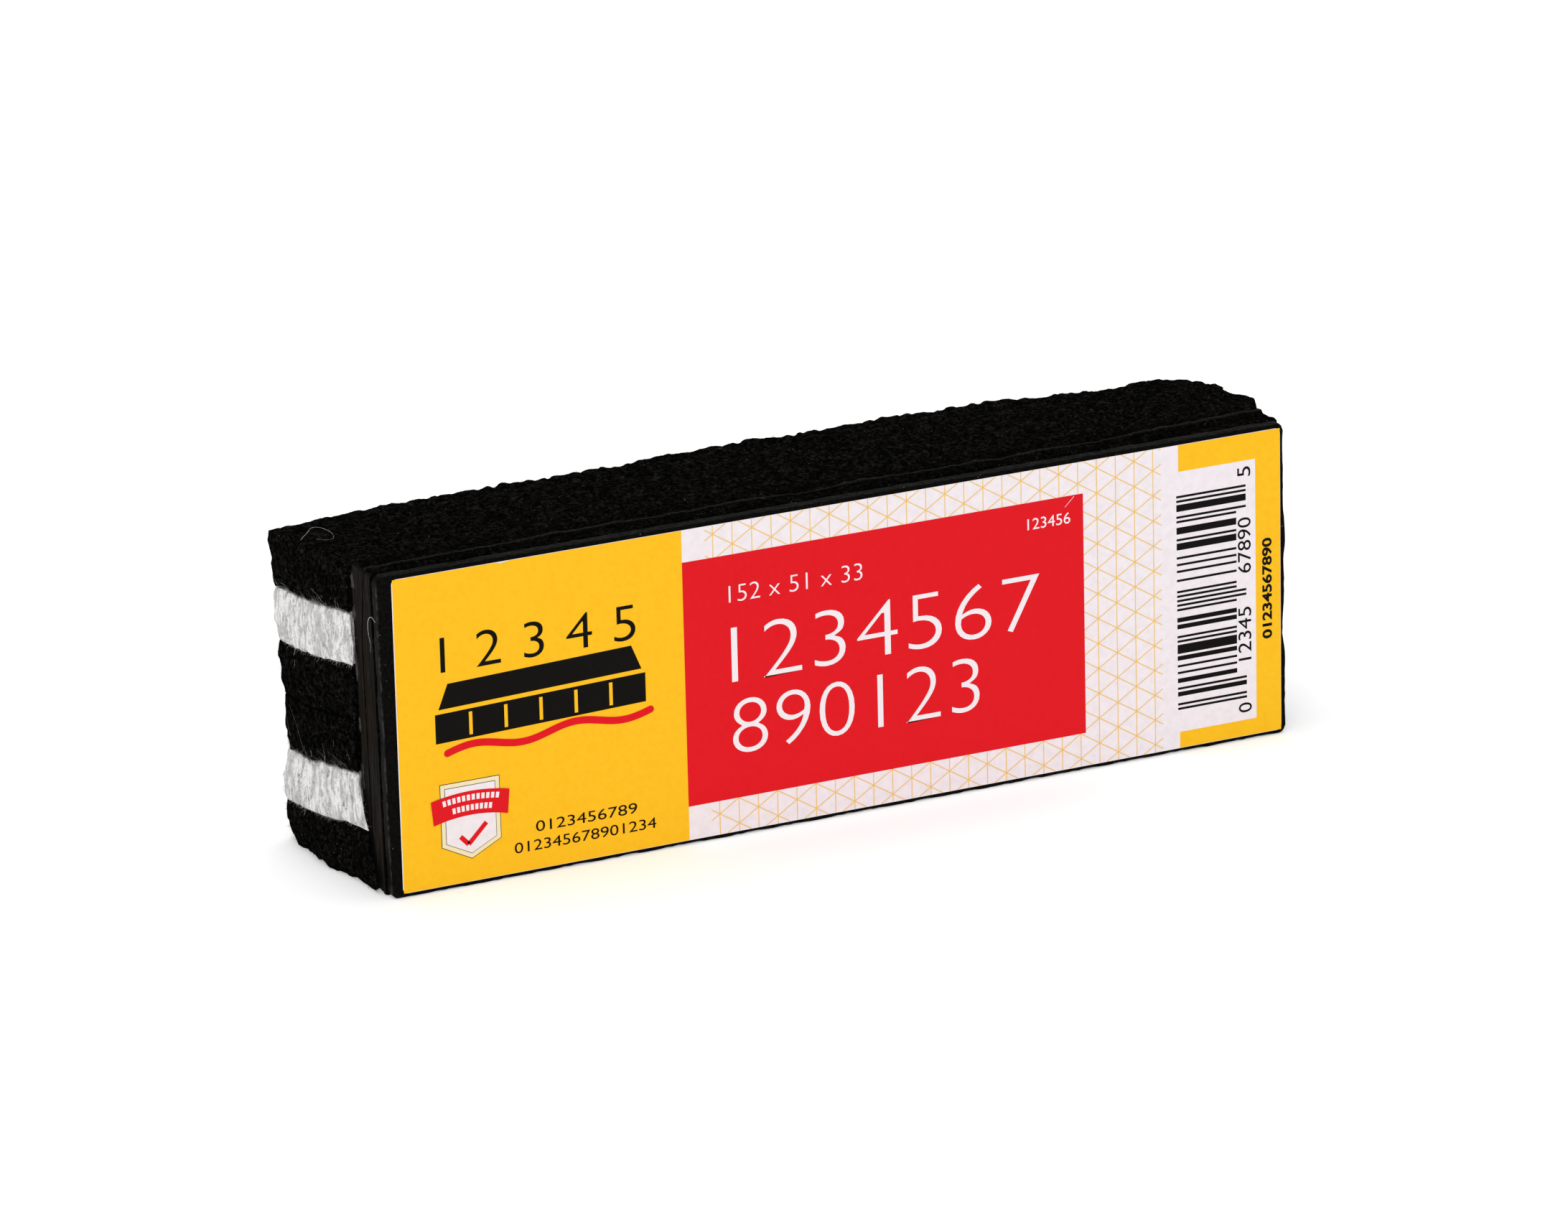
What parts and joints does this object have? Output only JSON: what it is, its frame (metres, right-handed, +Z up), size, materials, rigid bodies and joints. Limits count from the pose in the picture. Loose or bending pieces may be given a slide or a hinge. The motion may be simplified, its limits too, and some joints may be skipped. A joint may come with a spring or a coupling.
{
  "type": "chalkboard eraser",
  "caption": "Chalkboard eraser: black and white felt strips glued side by side onto a dark laminated backing, with a printed paper label on the backing's flat outer face.",
  "frame": {"origin": "under the middle of the eraser's bounding box, on the surface that its long side stands on", "axes": "+X along the eraser's length, +Y out of the felt erasing face, +Z up; the label faces -Y"},
  "size_m": [0.1558, 0.0334, 0.0508],
  "materials": {
    "label_paper": "satin",
    "clear_adhesive": "gloss",
    "black_board": "satin",
    "brown_glue": "satin",
    "backing_felt": "matte",
    "black_felt": "matte",
    "white_felt": "matte"
  },
  "bodies": {
    "root": {"label": "label_paper", "label_adhesive": "clear_adhesive", "face_board": "black_board", "board_glue": "brown_glue", "backing_ply_front": "backing_felt", "ply_glue": "brown_glue", "backing_ply_rear": "backing_felt", "felt_glue_bed": "brown_glue", "felt_strip_1_black": "black_felt", "felt_strip_2_white": "white_felt", "felt_strip_3_black": "black_felt", "felt_strip_4_black": "black_felt", "felt_strip_5_white": "white_felt", "felt_strip_6_black": "black_felt"}
  },
  "joints": []
}
